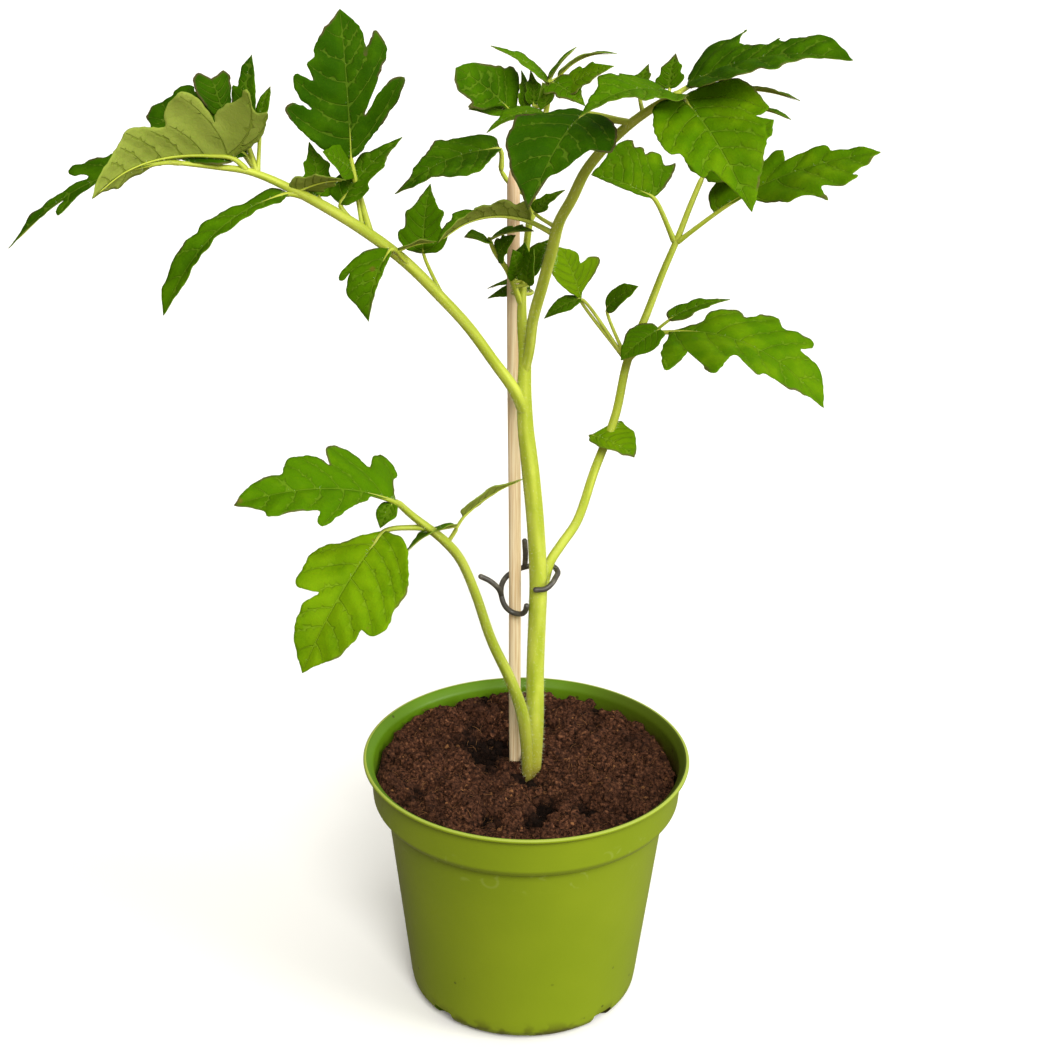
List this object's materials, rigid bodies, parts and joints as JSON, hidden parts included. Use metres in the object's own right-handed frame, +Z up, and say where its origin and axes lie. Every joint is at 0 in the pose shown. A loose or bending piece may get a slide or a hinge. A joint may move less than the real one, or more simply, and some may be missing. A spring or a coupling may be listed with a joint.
{
  "type": "tomato plant in a pot",
  "caption": "Young tomato plant with hairy stem, stick, clip and cut-edged compound leaves, standing in soil in a round thin-walled nursery pot that rests on its flat foot.",
  "frame": {"origin": "centre of the pot's flat underside, on the surface that it stands on", "axes": "+Z up along the pot's axis, -Y towards the plant's front, +X to the right seen from the front"},
  "size_m": [0.2873, 0.1668, 0.3832],
  "materials": {
    "pot_plastic": "satin",
    "peat_compost": "matte",
    "plant_stem": "satin",
    "plant_leaf": "satin",
    "cane_wood": "matte",
    "clip_plastic": "satin"
  },
  "bodies": {
    "root": {"pot": "pot_plastic", "soil": "peat_compost", "main_stem": "plant_stem", "support_stick": "cane_wood", "plant_clip": "clip_plastic", "leaf_lower_left": "plant_leaf", "leaf_right": "plant_leaf", "leaf_upper_left": "plant_leaf", "leaf_front_right": "plant_leaf", "leaf_back_left": "plant_leaf", "side_shoot": "plant_leaf", "shoot_tip": "plant_leaf"}
  },
  "joints": []
}
